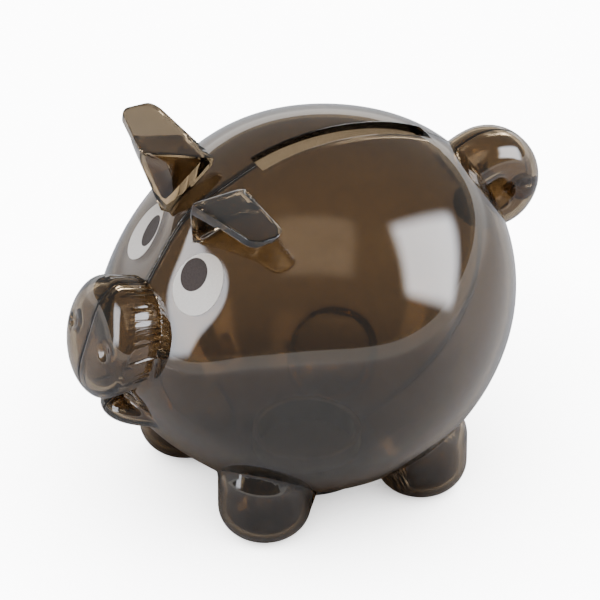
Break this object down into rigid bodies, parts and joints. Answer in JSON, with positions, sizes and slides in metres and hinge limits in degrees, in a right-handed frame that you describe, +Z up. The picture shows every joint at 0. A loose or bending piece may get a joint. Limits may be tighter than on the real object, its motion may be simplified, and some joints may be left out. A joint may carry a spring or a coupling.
{
  "type": "piggy bank",
  "caption": "Hollow standing-pig money box of smoke-tinted clear plastic with a coin slot on its back, curled tail, flap ears and a push-in belly stopper.",
  "frame": {"origin": "on the ground under the middle of the overall box", "axes": "+Z up, snout towards -Y, tail towards +Y, +X is the pig's own left side"},
  "size_m": [0.0918, 0.1179, 0.0882],
  "materials": {
    "smoke_plastic": "glossy see-through smoke-brown polystyrene",
    "stopper_plastic": "satin soft black polyethylene",
    "white_ink": "printed off-white ink, satin",
    "dark_ink": "printed dark brown ink, satin"
  },
  "bodies": {
    "bank": {"shell_left": "smoke_plastic", "shell_right": "smoke_plastic", "eye_white_left": "white_ink", "eye_white_right": "white_ink", "eye_pupil_left": "dark_ink", "eye_pupil_right": "dark_ink"},
    "stopper": {"belly_plug": "stopper_plastic"}
  },
  "joints": [
    {"name": "stopper_pull", "type": "slide", "parent": "bank", "child": "stopper", "axis": [0, 0, -1], "range_m": [0, 0.02]}
  ]
}
